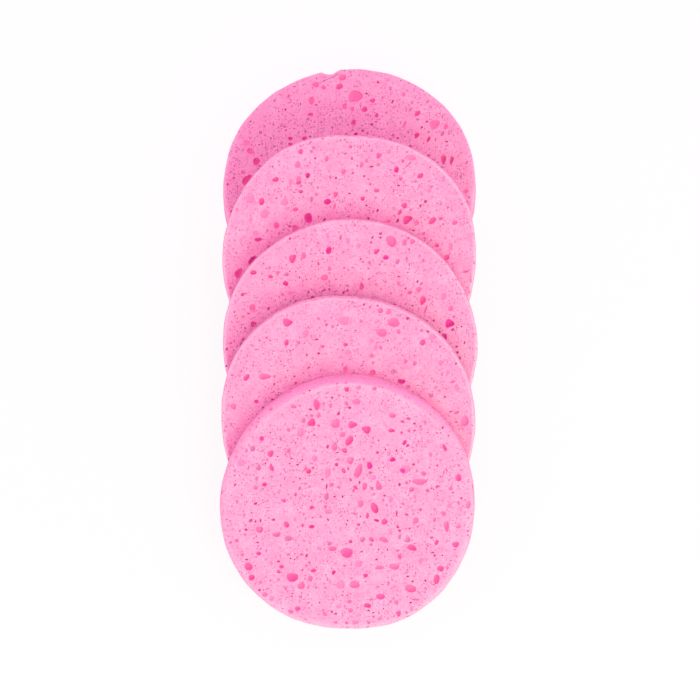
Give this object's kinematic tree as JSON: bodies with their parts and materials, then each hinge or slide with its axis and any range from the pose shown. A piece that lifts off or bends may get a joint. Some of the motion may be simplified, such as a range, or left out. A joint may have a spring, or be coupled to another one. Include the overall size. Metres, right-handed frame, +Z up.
{
  "type": "facial sponge",
  "caption": "Round pink cellulose facial sponges with open pores, fanned out in an overlapping row that rests on a table.",
  "frame": {"origin": "centre of the row's bounding box, at the height of the table that it rests on", "axes": "+Z up; +Y along the row, from the front sponge on top to the rear sponge that lies flat; +X to the right as the picture shows it"},
  "size_m": [0.0758, 0.1728, 0.033],
  "materials": {
    "pink_cellulose_foam": "matte, fine open-celled foam"
  },
  "bodies": {
    "rear_sponge": {"rear_sponge": "pink_cellulose_foam"},
    "second_sponge": {"second_sponge": "pink_cellulose_foam"},
    "middle_sponge": {"middle_sponge": "pink_cellulose_foam"},
    "fourth_sponge": {"fourth_sponge": "pink_cellulose_foam"},
    "front_sponge": {"front_sponge": "pink_cellulose_foam"}
  },
  "joints": [
    {"name": "second_sponge_lift", "type": "slide", "parent": "rear_sponge", "child": "second_sponge", "axis": [0, 0, 1], "range_m": [0, 0.04]},
    {"name": "middle_sponge_lift", "type": "slide", "parent": "second_sponge", "child": "middle_sponge", "axis": [0, 0, 1], "range_m": [0, 0.04]},
    {"name": "fourth_sponge_lift", "type": "slide", "parent": "middle_sponge", "child": "fourth_sponge", "axis": [0, 0, 1], "range_m": [0, 0.04]},
    {"name": "front_sponge_lift", "type": "slide", "parent": "fourth_sponge", "child": "front_sponge", "axis": [0, 0, 1], "range_m": [0, 0.04]}
  ]
}
